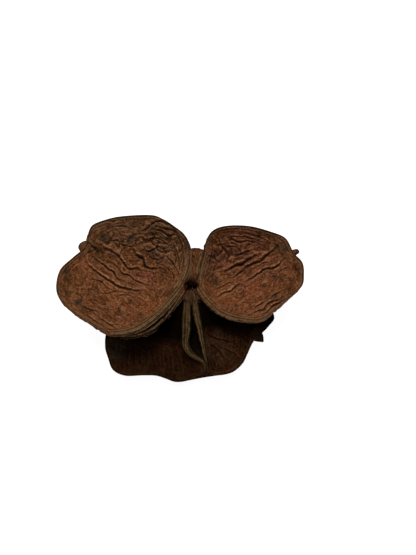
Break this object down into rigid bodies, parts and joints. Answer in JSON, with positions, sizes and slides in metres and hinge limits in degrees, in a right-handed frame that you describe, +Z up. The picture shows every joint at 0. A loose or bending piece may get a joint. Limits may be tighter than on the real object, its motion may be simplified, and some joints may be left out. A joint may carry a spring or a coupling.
{
  "type": "dried lotus-like seed pod",
  "caption": "Dried brown woody seed pod, split open along its lips, with dished wrinkled faces, thin tan rims and a bulging back, lying on its back.",
  "frame": {"origin": "centre of the footprint, on the surface that the pod rests on", "axes": "+X along the pod's longest way, +Y from the slits towards the grown base, +Z up from the resting surface"},
  "size_m": [0.0933, 0.0599, 0.038],
  "materials": {
    "husk": "matte, wrinkled"
  },
  "bodies": {
    "root": {"pod_husk": "husk"}
  },
  "joints": []
}
